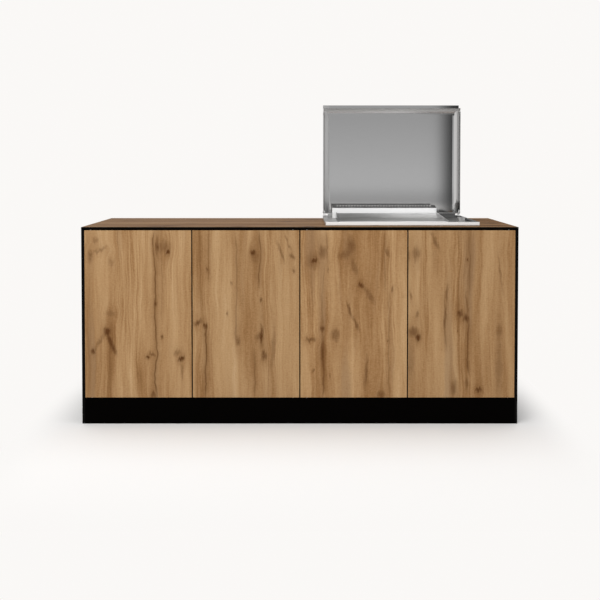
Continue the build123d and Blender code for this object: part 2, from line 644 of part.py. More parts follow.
with BuildPart() as cooking_plate:
    with BuildSketch(Plane.YZ.offset(PLATE_X0)):
        with BuildLine():
            Polyline(*plate_under, *plate_over, close=True)
        make_face()
    extrude(amount=PLATE_W)
    for x in (PLATE_X0, PLATE_X1 - UPSTAND_T):
        with BuildSketch(Plane.YZ.offset(x)):
            with BuildLine():
                Polyline(*plate_under, (PLATE_Y1, PLATE_HIGH), (PLATE_Y0, PLATE_LOW), close=True)
            make_face()
        extrude(amount=UPSTAND_T)
    drain_y = PLATE_Y0 + TROUGH_W / 2
    drain_z = DECK_UNDER - TROUGH_DROP
    post(PLATE_X1 - DRAIN_INSET, drain_y, drain_z, drain_z + PLATE_T, DRAIN_R, Mode.SUBTRACT)
save(cooking_plate.part, "cooking_plate")

# Grease cup on the tub's floor, below the drain
with BuildPart() as grease_cup:
    cup_x = PLATE_X1 - DRAIN_INSET
    cup_y = drain_y + CUP_R / 2
    cup_floor = TUB_FLOOR + SHEET
    cup_top = cup_floor + CUP_H
    post(cup_x, cup_y, cup_floor, cup_top, CUP_R)
    post(cup_x, cup_y, cup_floor + SHEET, cup_top, CUP_R - SHEET, Mode.SUBTRACT)
save(grease_cup.part, "grease_cup")

# Flue box behind the plate, open below to the tub and closed above by its perforated cover
flue_side = [
    (FLUE_Y0, DECK_Z),
    (FLUE_Y1, DECK_Z),
    (FLUE_Y1, DECK_Z + FLUE_REAR_H),
    (FLUE_Y0, DECK_Z + FLUE_FRONT_H),
]
with BuildPart() as flue_box:
    with BuildSketch(Plane.YZ.offset(FLUE_X0)):
        with BuildLine():
            Polyline(*flue_side, close=True)
        make_face()
    extrude(amount=FLUE_W)
    flue_inner = (FLUE_X0 + SHEET, FLUE_X1 - SHEET)
    span(*flue_inner, FLUE_Y0 + SHEET, FLUE_Y1 - SHEET, DECK_Z, DECK_Z + 2 * FLUE_REAR_H, Mode.SUBTRACT)
save(flue_box.part, "flue_box")

with BuildPart() as flue_cover:
    cover_rise = SHEET / cos(FLUE_TILT)
    cover_side = [flue_side[3], flue_side[2]]
    cover_side += [(y, z + cover_rise) for y, z in reversed(cover_side)]
    with BuildSketch(Plane.YZ.offset(FLUE_X0)):
        with BuildLine():
            Polyline(*cover_side, close=True)
        make_face()
    extrude(amount=FLUE_W)
    cover_mid = (FLUE_X, (FLUE_Y0 + FLUE_Y1) / 2, DECK_Z + (FLUE_FRONT_H + FLUE_REAR_H) / 2)
    cover_plane = Plane(cover_mid, x_dir=(1, 0, 0)).rotated((degrees(FLUE_TILT), 0, 0))
    hole_count = int((FLUE_W - 2 * FLUE_HOLE_EDGE) / FLUE_HOLE_PITCH) + 1
    with BuildSketch(cover_plane):
        with GridLocations(FLUE_HOLE_PITCH, FLUE_HOLE_PITCH, hole_count, 1):
            Circle(FLUE_HOLE_R)
    extrude(amount=2 * SHEET, both=True, mode=Mode.SUBTRACT)
save(flue_cover.part, "flue_cover")

# Burner: one bent tube with its ports along both runs, closed at its far end
burner_y0 = FRONT + BURNER_FRONT
burner_y1 = FRONT + BURNER_REAR
burner_x0 = PLATE_X - TUB_HALF + BURNER_END
burner_x1 = PLATE_X + TUB_HALF + BURNER_MOUTH
burner_x2 = PLATE_X + TUB_HALF - BURNER_END
with BuildPart() as burner:
    with BuildLine() as burner_path:
        FilletPolyline(
            (burner_x1, burner_y0, BURNER_Z),
            (burner_x0, burner_y0, BURNER_Z),
            (burner_x0, burner_y1, BURNER_Z),
            (burner_x2, burner_y1, BURNER_Z),
            radius=BURNER_BEND,
        )
    with BuildSketch(Plane((burner_x1, burner_y0, BURNER_Z), x_dir=(0, 1, 0), z_dir=(-1, 0, 0))):
        Circle(BURNER_R)
        Circle(BURNER_R - SHEET, mode=Mode.SUBTRACT)
    sweep(path=burner_path.line)
    rod_x(burner_x2 - SHEET, burner_x2, burner_y1, BURNER_Z, BURNER_R)
    port_count = int((burner_x2 - burner_x0 - 2 * BURNER_BEND) / PORT_PITCH) + 1
    with BuildSketch(Plane.XY.offset(BURNER_Z)):
        with Locations((PLATE_X, (burner_y0 + burner_y1) / 2)):
            with GridLocations(PORT_PITCH, burner_y1 - burner_y0, port_count, 2):
                Circle(PORT_R)
    extrude(amount=BURNER_R, mode=Mode.SUBTRACT)
save(burner.part, "burner")

# Saddles that hold the burner above the tub's floor
with BuildPart() as burner_saddles:
    for x in (burner_x0 + 2 * BURNER_BEND, burner_x2 - BURNER_BEND):
        y0 = burner_y0 - 2 * BURNER_R
        y1 = burner_y1 + 2 * BURNER_R
        span(x, x + SADDLE_T, y0, y1, TUB_FLOOR + SHEET, BURNER_Z)
        for y in (burner_y0, burner_y1):
            rod_x(x, x + SADDLE_T, y, BURNER_Z, BURNER_R, Mode.SUBTRACT)
save(burner_saddles.part, "burner_saddles")

# Gas valve under the deck: a neck that guides the spindle and a block with the spring chamber
with BuildPart() as gas_valve:
    half = VALVE_W / 2
    span(KNOB_X - half, KNOB_X + half, KNOB_Y - half, KNOB_Y + half, VALVE_FLOOR, VALVE_TOP)
    chamfer(gas_valve.edges().filter_by(Axis.Z), VALVE_CHAMFER)
    post(KNOB_X, KNOB_Y, VALVE_TOP, DECK_UNDER, NECK_R)
    post(KNOB_X, KNOB_Y, CHAMBER_BASE, DECK_UNDER, SPINDLE_R + RUN, Mode.SUBTRACT)
    post(KNOB_X, KNOB_Y, CHAMBER_BASE, CHAMBER_TOP, CHAMBER_R, Mode.SUBTRACT)
save(gas_valve.part, "gas_valve")

# Thrust collar that rides down with the spindle against the valve's spring
with BuildPart() as thrust_collar:
    post(KNOB_X, KNOB_Y, COLLAR_Z, COLLAR_Z + COLLAR_T, COLLAR_R)
    post(KNOB_X, KNOB_Y, COLLAR_Z, COLLAR_Z + COLLAR_T, SPINDLE_R + RUN, Mode.SUBTRACT)
save(thrust_collar.part, "thrust_collar")

# Spindle, with a flange under the collar
SPINDLE_TOP = KNOB_Z0 + KNOB_SOCKET
with BuildPart() as valve_spindle:
    post(KNOB_X, KNOB_Y, COLLAR_Z - SEAT, SPINDLE_TOP, SPINDLE_R)
    post(KNOB_X, KNOB_Y, COLLAR_Z - SEAT - SHEET, COLLAR_Z - SEAT, SPINDLE_R + SHEET)
save(valve_spindle.part, "valve_spindle")

# Control knob: a turned cap with a skirt, a pointer groove and a blind socket on the spindle
with BuildPart() as control_knob:
    with BuildSketch(Plane.XZ.offset(-KNOB_Y)):
        with BuildLine():
            Polyline(
                (KNOB_X, KNOB_Z0),
                (KNOB_X + KNOB_SKIRT_R, KNOB_Z0),
                (KNOB_X + KNOB_SKIRT_R, KNOB_Z0 + KNOB_SKIRT_H),
                (KNOB_X + KNOB_R, KNOB_Z0 + KNOB_SKIRT_H + KNOB_SKIRT_SLOPE),
                (KNOB_X + KNOB_R, KNOB_Z0 + KNOB_H),
                (KNOB_X, KNOB_Z0 + KNOB_H),
                close=True,
            )
        make_face()
    revolve(axis=Axis((KNOB_X, KNOB_Y, 0), (0, 0, 1)))
    fillet(control_knob.edges().group_by(Axis.Z)[-1], 2 * EASE)
    post(KNOB_X, KNOB_Y, KNOB_Z0, SPINDLE_TOP, SPINDLE_R, Mode.SUBTRACT)
    groove_y = (KNOB_Y - KNOB_R, KNOB_Y - KNOB_R / 2)
    knob_top = KNOB_Z0 + KNOB_H
    span(KNOB_X - EASE, KNOB_X + EASE, *groove_y, knob_top - 2 * EASE, knob_top, Mode.SUBTRACT)
save(control_knob.part, "control_knob")

# Gas pipe from the valve's underside to the burner's mouth
with BuildPart() as gas_pipe:
    with BuildLine() as pipe_path:
        FilletPolyline(
            (KNOB_X, KNOB_Y, VALVE_FLOOR),
            (KNOB_X, KNOB_Y, BURNER_Z),
            (KNOB_X, burner_y0, BURNER_Z),
            (burner_x1 - PIPE_R, burner_y0, BURNER_Z),
            radius=PIPE_BEND,
        )
    with BuildSketch(Plane.XY.offset(VALVE_FLOOR)):
        with Locations((KNOB_X, KNOB_Y)):
            Circle(PIPE_R)
            Circle(PIPE_R - SHEET, mode=Mode.SUBTRACT)
    sweep(path=pipe_path.line)
save(gas_pipe.part, "gas_pipe")

# Gas inlet on the valve's back: a hexagon and a plain stub where the hose screws on
with BuildPart() as gas_inlet:
    inlet_y = KNOB_Y + VALVE_W / 2
    with BuildSketch(Plane.XZ.offset(-inlet_y)):
        with Locations((KNOB_X, INLET_Z)):
            RegularPolygon(INLET_HEX, 6)
    extrude(amount=-INLET_HEX_L)
    rod_y(KNOB_X, inlet_y + INLET_HEX_L, inlet_y + INLET_HEX_L + INLET_L, INLET_Z, INLET_R)
    rod_y(KNOB_X, inlet_y, inlet_y + INLET_HEX_L + INLET_L, INLET_Z, INLET_R / 2, Mode.SUBTRACT)
save(gas_inlet.part, "gas_inlet")

# Hinge ears on the rim's rear corners, each with a stop arm under the lid's rear wall
with BuildPart() as hinge_ears:
    for way in (-1, 1):
        face = GRILL_X + way * EAR_FACE
        plate_x = ordered(face, face - way * EAR_T)
        foot_x = ordered(face, face - way * EAR_FOOT_W)
        span(*plate_x, HINGE_Y - EAR_R, GRILL_Y1, RIM_TOP, HINGE_Z)
        rod_x(*plate_x, HINGE_Y, HINGE_Z, EAR_R)
        span(*foot_x, EAR_Y0, GRILL_Y1, RIM_TOP, RIM_TOP + EAR_FOOT_T)
        stop_z = LID_Z0 - SEAT
        span(*plate_x, HINGE_Y, HINGE_Y + EAR_ARM, stop_z - EAR_ARM_H, stop_z)
        rod_x(*plate_x, HINGE_Y, HINGE_Z, HINGE_R, Mode.SUBTRACT)
    for x, y in ear_screw_spots:
        post(x, y, RIM_TOP, RIM_TOP + EAR_FOOT_T, SCREW_R, Mode.SUBTRACT)
save(hinge_ears.part, "hinge_ears")

with BuildPart() as ear_screws:
    for x, y in ear_screw_spots:
        foot_top = RIM_TOP + EAR_FOOT_T
        post(x, y, foot_top - SCREW_L, foot_top, SCREW_R)
        post(x, y, foot_top, foot_top + HEAD_T, HEAD_R)
save(ear_screws.part, "ear_screws")

# Hinge pins: a shank fixed in the ear, with a head outside the lid
with BuildPart() as hinge_pins:
    for way in (-1, 1):
        head_in = GRILL_X + way * (LID_HALF + SEAT)
        shank_end = GRILL_X + way * (EAR_FACE - EAR_T)
        rod_x(*ordered(shank_end, head_in), HINGE_Y, HINGE_Z, HINGE_R)
        rod_x(*ordered(head_in, head_in + way * HINGE_HEAD_T), HINGE_Y, HINGE_Z, HINGE_HEAD_R)
        rod_x(*ordered(shank_end, shank_end - way * HINGE_HEAD_T), HINGE_Y, HINGE_Z, HINGE_TAIL_R)
save(hinge_pins.part, "hinge_pins")

# Lid: a rolled shell that stands open, with a grip lip along its free edge
with BuildPart() as lid:
    wall_z = LID_Z1 - LID_LIP
    lid_x = (GRILL_X - LID_HALF, GRILL_X + LID_HALF)
    span(*lid_x, LID_Y0, LID_Y1, LID_Z0, wall_z)
    fillet(lid.edges().group_by(Axis.Y)[-1].sort_by(Axis.Z)[1:], LID_BEND)
    fillet(lid.edges().group_by(Axis.Z)[0].sort_by(Axis.Y)[-1], LID_FOLD)
    offset(amount=-LID_SIDE, openings=lid.faces().sort_by(Axis.Y)[0])
    span(*lid_x, LID_Y1 - LID_LIP_T, LID_Y1, wall_z - LID_BEND - LID_LIP_T, LID_Z1)
    fillet(lid.edges().group_by(Axis.Z)[-1].filter_by(Axis.X), LID_LIP_T / 3)
    for way in (-1, 1):
        wall = GRILL_X + way * (LID_HALF - LID_SIDE)
        relief = ordered(wall, wall - way * RELIEF_W)
        span(*relief, LID_Y0, HINGE_Y + RELIEF_REACH, LID_Z0, LID_Z0 + LID_FOLD, Mode.SUBTRACT)
        hole = ordered(wall, wall + way * LID_SIDE)
        rod_x(*hole, HINGE_Y, HINGE_Z, HINGE_R + RUN, Mode.SUBTRACT)
save(lid.part, "lid")
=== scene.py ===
"""Looks of the outdoor kitchen: knotty oak fronts on black boards, and a bright griddle with its lid up."""

import json
from math import atan2, cos, pi, radians, sin

import bpy
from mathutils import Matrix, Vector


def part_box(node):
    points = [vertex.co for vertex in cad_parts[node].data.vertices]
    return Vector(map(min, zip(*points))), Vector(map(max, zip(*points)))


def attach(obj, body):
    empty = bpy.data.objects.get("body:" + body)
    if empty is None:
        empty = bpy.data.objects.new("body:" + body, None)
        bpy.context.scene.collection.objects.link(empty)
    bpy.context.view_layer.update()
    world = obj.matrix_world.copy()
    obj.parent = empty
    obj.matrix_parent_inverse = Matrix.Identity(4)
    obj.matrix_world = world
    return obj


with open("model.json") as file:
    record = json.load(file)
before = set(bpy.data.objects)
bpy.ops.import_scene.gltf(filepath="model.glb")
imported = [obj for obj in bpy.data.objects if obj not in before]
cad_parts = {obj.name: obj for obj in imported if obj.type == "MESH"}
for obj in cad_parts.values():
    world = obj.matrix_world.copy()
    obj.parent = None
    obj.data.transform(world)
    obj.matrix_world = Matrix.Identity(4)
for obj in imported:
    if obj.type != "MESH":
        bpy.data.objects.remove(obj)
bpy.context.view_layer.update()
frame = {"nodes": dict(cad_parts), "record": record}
NODES = frame["nodes"]

# Knots and smears of each door: X, Z, half width, half height (m), lean (degrees), strength
KNOTS = {
    "door_far_left": (
        (-0.934, 0.845, 0.013, 0.014, 0, 0.35),
        (-0.917, 0.800, 0.039, 0.009, 25, 0.35),
        (-0.959, 0.771, 0.012, 0.029, 0, 0.4),
        (-0.863, 0.745, 0.014, 0.019, 0, 0.25),
        (-0.884, 0.428, 0.017, 0.017, 0, 0.85),
        (-0.865, 0.370, 0.010, 0.055, 24, 0.75),
        (-0.922, 0.374, 0.008, 0.055, -33, 0.35),
        (-0.950, 0.329, 0.010, 0.009, 0, 0.6),
        (-0.865, 0.508, 0.026, 0.012, 0, 0.25),
        (-0.622, 0.816, 0.032, 0.027, 0, 0.35),
        (-0.604, 0.790, 0.009, 0.010, 0, 0.85),
        (-0.698, 0.306, 0.010, 0.008, 0, 0.8),
        (-0.677, 0.319, 0.017, 0.008, -30, 0.5),
        (-0.661, 0.550, 0.005, 0.009, 0, 0.6),
        (-0.632, 0.399, 0.006, 0.010, 0, 0.6),
        (-0.543, 0.297, 0.015, 0.013, 0, 0.9),
        (-0.563, 0.329, 0.022, 0.012, 45, 0.35),
        (-0.540, 0.233, 0.006, 0.039, 0, 0.3),
        (-0.673, 0.133, 0.014, 0.014, 30, 0.55),
        (-0.652, 0.819, 0.008, 0.045, 0, 0.5),
    ),
    "door_mid_left": (
        (-0.423, 0.713, 0.006, 0.008, 0, 0.6),
        (-0.468, 0.465, 0.022, 0.013, 25, 0.6),
        (-0.434, 0.449, 0.009, 0.015, 0, 0.75),
        (-0.332, 0.508, 0.004, 0.008, 0, 0.4),
        (-0.313, 0.643, 0.005, 0.006, 0, 0.35),
        (-0.284, 0.380, 0.010, 0.026, 0, 0.4),
        (-0.214, 0.791, 0.014, 0.013, 0, 0.7),
        (-0.207, 0.774, 0.019, 0.032, 20, 0.3),
        (-0.179, 0.572, 0.006, 0.010, 0, 0.6),
        (-0.174, 0.412, 0.009, 0.039, 0, 0.7),
        (-0.188, 0.399, 0.019, 0.017, 0, 0.4),
        (-0.165, 0.316, 0.012, 0.023, 0, 0.75),
        (-0.035, 0.768, 0.009, 0.017, 40, 0.55),
        (-0.086, 0.790, 0.006, 0.051, 20, 0.45),
        (-0.055, 0.835, 0.005, 0.045, 22, 0.4),
        (-0.028, 0.704, 0.010, 0.009, 0, 0.4),
        (-0.123, 0.348, 0.012, 0.109, -5, 0.30),
    ),
    "door_mid_right": (
        (0.067, 0.753, 0.010, 0.012, 0, 0.85),
        (0.058, 0.747, 0.029, 0.039, 0, 0.3),
        (0.103, 0.792, 0.017, 0.030, 0, 0.45),
        (0.233, 0.821, 0.022, 0.039, 0, 0.5),
        (0.203, 0.779, 0.027, 0.019, 20, 0.4),
        (0.251, 0.718, 0.012, 0.045, 15, 0.4),
        (0.280, 0.637, 0.014, 0.012, 0, 0.9),
        (0.319, 0.592, 0.013, 0.048, 35, 0.4),
        (0.227, 0.524, 0.006, 0.039, 18, 0.55),
        (0.257, 0.462, 0.008, 0.039, 20, 0.5),
        (0.103, 0.437, 0.008, 0.013, 0, 0.8),
        (0.162, 0.411, 0.022, 0.028, 0, 0.45),
        (0.048, 0.388, 0.024, 0.010, 0, 0.6),
        (0.424, 0.621, 0.008, 0.012, 0, 0.45),
        (0.403, 0.383, 0.006, 0.006, 0, 0.5),
        (0.401, 0.786, 0.010, 0.019, 30, 0.4),
        (0.304, 0.233, 0.008, 0.071, -4, 0.45),
        (0.374, 0.133, 0.022, 0.017, 0, 0.45),
        (0.061, 0.249, 0.004, 0.008, 0, 0.45),
        (0.138, 0.217, 0.004, 0.008, 0, 0.45),
        (0.106, 0.349, 0.008, 0.058, 0, 0.4),
        (0.130, 0.708, 0.004, 0.015, 0, 0.4),
    ),
    "door_far_right": (
        (0.532, 0.783, 0.019, 0.032, 0, 0.5),
        (0.497, 0.773, 0.009, 0.026, 0, 0.3),
        (0.619, 0.841, 0.010, 0.050, 24, 0.45),
        (0.674, 0.608, 0.006, 0.039, -4, 0.45),
        (0.667, 0.485, 0.005, 0.051, -4, 0.45),
        (0.769, 0.755, 0.005, 0.009, 0, 0.6),
        (0.734, 0.508, 0.017, 0.017, 0, 0.65),
        (0.761, 0.486, 0.012, 0.018, 0, 0.8),
        (0.538, 0.504, 0.008, 0.014, 0, 0.45),
        (0.543, 0.398, 0.012, 0.013, 0, 0.85),
        (0.519, 0.424, 0.023, 0.023, 20, 0.5),
        (0.509, 0.291, 0.018, 0.103, 0, 0.3),
        (0.822, 0.155, 0.015, 0.009, 0, 0.7),
        (0.913, 0.427, 0.012, 0.031, 0, 0.35),
        (0.913, 0.252, 0.018, 0.122, 0, 0.3),
        (0.917, 0.698, 0.005, 0.096, 8, 0.3),
        (0.708, 0.162, 0.019, 0.039, 0, 0.45),
        (0.767, 0.181, 0.010, 0.032, 0, 0.4),
        (0.509, 0.589, 0.005, 0.017, 0, 0.4),
        (0.724, 0.428, 0.004, 0.006, 0, 0.45),
    ),
}

# Smears of the worktop: Y, X, half width, half length (m), lean (degrees), strength
WORKTOP_MARKS = (
    (-0.285, -0.655, 0.026, 0.055, 0, 0.90),
    (-0.240, -0.600, 0.018, 0.040, 0, 0.60),
    (-0.290, -0.280, 0.024, 0.040, 0, 0.80),
    (-0.300, 0.045, 0.026, 0.045, 0, 0.80),
    (-0.120, -0.520, 0.016, 0.030, 0, 0.60),
    (0.060, -0.060, 0.024, 0.040, 0, 0.75),
    (0.230, 0.060, 0.028, 0.045, 0, 0.80),
    (0.250, -0.380, 0.020, 0.060, 0, 0.50),
    (0.120, -0.860, 0.018, 0.045, 0, 0.60),
    (-0.060, 0.930, 0.034, 0.050, 0, 0.80),
    (0.210, 0.900, 0.034, 0.055, 0, 0.75),
    (-0.250, 0.905, 0.026, 0.050, 0, 0.65),
)

# Cracks and dark growth lines of each door: X, lowest Z, highest Z (m), strength
CRACKS = {
    "door_far_left": (
        (-0.661, 0.12, 0.89, 0.75),
        (-0.632, 0.48, 0.89, 0.25),
        (-0.962, 0.12, 0.70, 0.2),
    ),
    "door_mid_left": (
        (-0.417, 0.65, 0.89, 0.4),
        (-0.431, 0.12, 0.45, 0.75),
        (-0.292, 0.37, 0.87, 0.4),
        (-0.187, 0.62, 0.89, 0.6),
        (-0.206, 0.12, 0.35, 0.45),
        (-0.450, 0.48, 0.89, 0.2),
    ),
    "door_mid_right": (
        (0.120, 0.73, 0.89, 0.5),
        (0.104, 0.43, 0.73, 0.35),
        (0.104, 0.12, 0.37, 0.7),
        (0.390, 0.61, 0.89, 0.4),
        (0.409, 0.12, 0.61, 0.4),
    ),
    "door_far_right": (
        (0.778, 0.59, 0.89, 0.4),
        (0.761, 0.50, 0.61, 0.5),
        (0.771, 0.23, 0.47, 0.75),
        (0.667, 0.34, 0.61, 0.4),
    ),
}

# Brightness of each door's oak
DOOR_TONE = {
    "door_far_left": 0.984,
    "door_mid_left": 0.955,
    "door_mid_right": 1.03,
    "door_far_right": 0.978,
}
DOOR_SEED = 3.1
SEED_STEP = 5.7

# The worktop's oak: its grain's seed, its brightness, and how warm it is
WORKTOP_SEED = 41.3
WORKTOP_TONE = 0.43
WORKTOP_WARMTH = 0.92


def srgb(red, green, blue):
    """A colour written in 0-255 screen values, as linear RGBA."""
    return tuple((c / 255) ** 2.2 for c in (red, green, blue)) + (1.0,)


# Oak: tones from dark to light, stains, and the black of the boards' edges
OAK_TONES = (
    (0.00, srgb(114, 81, 51)),
    (0.28, srgb(144, 108, 72)),
    (0.50, srgb(164, 129, 91)),
    (0.70, srgb(176, 142, 103)),
    (1.00, srgb(190, 159, 121)),
)
KNOT_BROWN = srgb(80, 49, 26)
SMEAR_BROWN = srgb(112, 77, 46)
CRACK_BROWN = srgb(88, 58, 34)
SMOKY = srgb(142, 116, 89)
EDGE_BLACK = (0.0008, 0.0006, 0.0005, 1.0)
OAK_GLOSS = 0.03
OAK_RELIEF = 0.00012
STAVES = 10.0
SWAY = 0.06

# Knots: how far a smear reaches past its core, how far it pushes the grain, and how dark both are
SMEAR_REACH = (2.6, 5.0, 1.0)
KNOT_PUSH = 0.6
KNOT_GAIN = 1.25
SMEAR_GAIN = 0.60
RAGGED = ((1.7, 0.020), (4.9, 0.045))

# Cracks: how far they wander, half widths of the line and of the darker band beside it (m)
CRACK_WANDER = 0.030
CRACK_LINE = (0.0010, 0.0052)
CRACK_BAND = 0.030

# Fine brushing of the metal: waves a metre across and along it, its roughness, and reliefs (m)
BRUSH_FINE = 1400.0
BRUSH_LONG = 14.0
STREAK_ROUGH = 0.02
MIRROR_RELIEF = 0.0000006
SHEET_RELIEF = 0.00002
PLATE_RELIEF = 0.00001
BOARD_RELIEF = 0.00003
TARNISH = 0.08

# Lid: where its rolled top and left edges start and its lip begins (m), and the painted highlight of its
# rolled top: its lighter grey and its metal
LID_ROLL_Z = 1.452
LID_LIP_Z = 1.4834
LID_ROLL_X = 0.152
ROLL_HIGHLIGHT_GREY = 0.82
ROLL_HIGHLIGHT_METAL = 0.35

# Griddle: where the deck's and the plate's painted reflections go from light to dark (m), how it mirrors at a
# grazing angle, and how metallic the near-white painted fronts are
DECK_REFLECTION_X = (0.16, 0.74)
PLATE_REFLECTION_X = (0.16, 0.62)
PLATE_REFLECTION_LEAN = -0.45
GRAZING = (0.38, 0.38, 0.38, 1.0)
FRONT_METAL = 0.12


def add(tree, kind, inputs=None, **settings):
    """A new node, with its settings and its inputs set or linked."""
    made = tree.nodes.new(kind)
    for key, value in settings.items():
        setattr(made, key, value)
    for key, value in (inputs or {}).items():
        if isinstance(value, bpy.types.NodeSocket):
            tree.links.new(value, made.inputs[key])
        else:
            made.inputs[key].default_value = value
    return made


def sums(tree, operation, first, second=0.0, clamp=False):
    """One step of arithmetic."""
    return add(tree, "ShaderNodeMath", {0: first, 1: second}, operation=operation, use_clamp=clamp).outputs[0]


def fade(tree, value, low, high, to_low=0.0, to_high=1.0):
    """A smooth step from one level to another."""
    inputs = {"Value": value, "From Min": low, "From Max": high, "To Min": to_low, "To Max": to_high}
    return add(tree, "ShaderNodeMapRange", inputs, interpolation_type="SMOOTHSTEP").outputs["Result"]


def vector(tree, x=0.0, y=0.0, z=0.0):
    """Three values as one vector."""
    return add(tree, "ShaderNodeCombineXYZ", {0: x, 1: y, 2: z}).outputs[0]


def noise(tree, place, scale=1.0, detail=2.0, roughness=0.5):
    """Cloudy noise from 0 to 1."""
    inputs = {"Vector": place, "Scale": scale, "Detail": detail, "Roughness": roughness}
    return add(tree, "ShaderNodeTexNoise", inputs).outputs["Fac"]


def mix(tree, share, first, second, blend="MIX"):
    """One colour over another."""
    made = add(tree, "ShaderNodeMix", data_type="RGBA", blend_type=blend)
    for socket, value in ((made.inputs[0], share), (made.inputs[6], first), (made.inputs[7], second)):
        if isinstance(value, bpy.types.NodeSocket):
            tree.links.new(value, socket)
        else:
            socket.default_value = value
    return made.outputs[2]


def ramp(tree, value, stops):
    """Colours along a value."""
    made = add(tree, "ShaderNodeValToRGB", {0: value})
    band = made.color_ramp
    while len(band.elements) < len(stops):
        band.elements.new(0.5)
    for element, (place, colour) in zip(band.elements, stops):
        element.position = place
        element.color = colour
    return made.outputs[0]


def start(name):
    """A new material: its tree, its shader, and the object's own X, Y, Z and normal."""
    made = bpy.data.materials.new(name)
    made.use_nodes = True
    tree = made.node_tree
    shader = tree.nodes["Principled BSDF"]
    coord = add(tree, "ShaderNodeTexCoord")
    place = add(tree, "ShaderNodeSeparateXYZ", {0: coord.outputs["Object"]}).outputs
    normal = add(tree, "ShaderNodeSeparateXYZ", {0: coord.outputs["Normal"]}).outputs
    return made, tree, shader, place, normal


def tint(tree, shader, shade):
    """A grey base colour."""
    made = add(tree, "ShaderNodeCombineColor", {0: shade, 1: shade, 2: shade})
    tree.links.new(made.outputs[0], shader.inputs["Base Color"])


def bump(tree, shader, height, depth):
    """Relief of a given depth in metres."""
    made = add(tree, "ShaderNodeBump", {"Height": height, "Distance": depth, "Strength": 1.0})
    tree.links.new(made.outputs[0], shader.inputs["Normal"])


def mark_group():
    """One knot on a board: its dark core, its smear along the grain, and its push on the grain."""
    group = bpy.data.node_groups.new("oak_mark", "ShaderNodeTree")
    for name in ("Place", "Centre", "Size"):
        group.interface.new_socket(name, in_out="INPUT", socket_type="NodeSocketVector")
    for name in ("Lean", "Strength"):
        group.interface.new_socket(name, in_out="INPUT", socket_type="NodeSocketFloat")
    group.interface.new_socket("Mark", in_out="OUTPUT", socket_type="NodeSocketVector")
    entry = group.nodes.new("NodeGroupInput").outputs

    def step(operation, first, second=(0.0, 0.0, 0.0)):
        return add(group, "ShaderNodeVectorMath", {0: first, 1: second}, operation=operation).outputs

    def reach(offset):
        return step("LENGTH", step("DIVIDE", offset, entry["Size"])[0])["Value"]

    away = step("SUBTRACT", entry["Place"], entry["Centre"])[0]
    lean = {"Vector": away, "Angle": entry["Lean"]}
    turned = add(group, "ShaderNodeVectorRotate", lean, rotation_type="Z_AXIS")
    core = fade(group, reach(turned.outputs[0]), 0.2, 1.5, 1.0, 0.0)
    smear = fade(group, reach(step("DIVIDE", away, SMEAR_REACH)[0]), 0.0, 1.0, 1.0, 0.0)
    aside = add(group, "ShaderNodeSeparateXYZ", {0: away}).outputs[0]
    push = sums(group, "MULTIPLY", aside, sums(group, "MULTIPLY", smear, KNOT_PUSH))
    mark = vector(group, sums(group, "MULTIPLY", core, entry["Strength"]),
                  sums(group, "MULTIPLY", smear, entry["Strength"]), push)
    leave = group.nodes.new("NodeGroupOutput")
    group.links.new(mark, leave.inputs["Mark"])
    return group


MARK = mark_group()


def total(tree, values):
    """The sum of many values."""
    result = 0.0
    for value in values:
        result = sums(tree, "ADD", result, value)
    return result


def join(tree, marks, mark):
    """One more mark added to a running sum."""
    return add(tree, "ShaderNodeVectorMath", {0: marks, 1: mark}, operation="ADD").outputs[0]


def grain_noise(tree, width, length, fine, coarse, seed, detail=3.0, roughness=0.55):
    """Noise drawn out along the grain: so many waves a metre across it and along it."""
    place = vector(tree, sums(tree, "MULTIPLY", width, fine), sums(tree, "MULTIPLY", length, coarse), seed)
    return noise(tree, place, 1.0, detail, roughness)


def swing(tree, value, amount):
    """A noise turned into a shift to both sides."""
    return sums(tree, "MULTIPLY", sums(tree, "SUBTRACT", value, 0.5), amount)


def knot_marks(tree, width, length, seed, knots):
    """The cores, smears and grain shift of a board's knots, with ragged outlines."""
    ragged = [swing(tree, grain_noise(tree, width, length, 90.0, 22.0, seed + shift), amount)
              for shift, amount in RAGGED]
    flat = vector(tree, sums(tree, "ADD", width, ragged[0]), sums(tree, "ADD", length, ragged[1]))
    marks = (0.0, 0.0, 0.0)
    for x, z, half_width, half_height, lean, strength in knots:
        spot = add(tree, "ShaderNodeGroup", node_tree=MARK)
        tree.links.new(flat, spot.inputs["Place"])
        spot.inputs["Centre"].default_value = (x, z, 0.0)
        spot.inputs["Size"].default_value = (half_width, half_height, 1.0)
        spot.inputs["Lean"].default_value = radians(-lean)
        spot.inputs["Strength"].default_value = strength
        marks = join(tree, marks, spot.outputs["Mark"])
    return add(tree, "ShaderNodeSeparateXYZ", {0: marks}).outputs


def crack_marks(tree, width, length, seed, cracks):
    """Thin wandering lines along the grain, and the darker wood beside them."""
    marks = (0.0, 0.0, 0.0)
    for index, (x, low, high, strength) in enumerate(cracks):
        path = vector(tree, sums(tree, "MULTIPLY", length, 7.0), seed, 3.0 * index)
        wander = swing(tree, noise(tree, path, 1.0, 4.0, 0.6), CRACK_WANDER)
        gap = sums(tree, "ABSOLUTE", sums(tree, "SUBTRACT", sums(tree, "ADD", width, wander), x))
        ends = sums(tree, "MULTIPLY", fade(tree, length, low - 0.03, low + 0.05),
                    fade(tree, length, high - 0.05, high + 0.03, 1.0, 0.0))
        line = sums(tree, "MULTIPLY", fade(tree, gap, *CRACK_LINE, 1.1 * strength ** 1.3, 0.0), ends)
        band = sums(tree, "MULTIPLY", fade(tree, gap, 0.0, CRACK_BAND, 0.75 * strength, 0.0), ends)
        marks = join(tree, marks, vector(tree, line, band))
    return add(tree, "ShaderNodeSeparateXYZ", {0: marks}).outputs


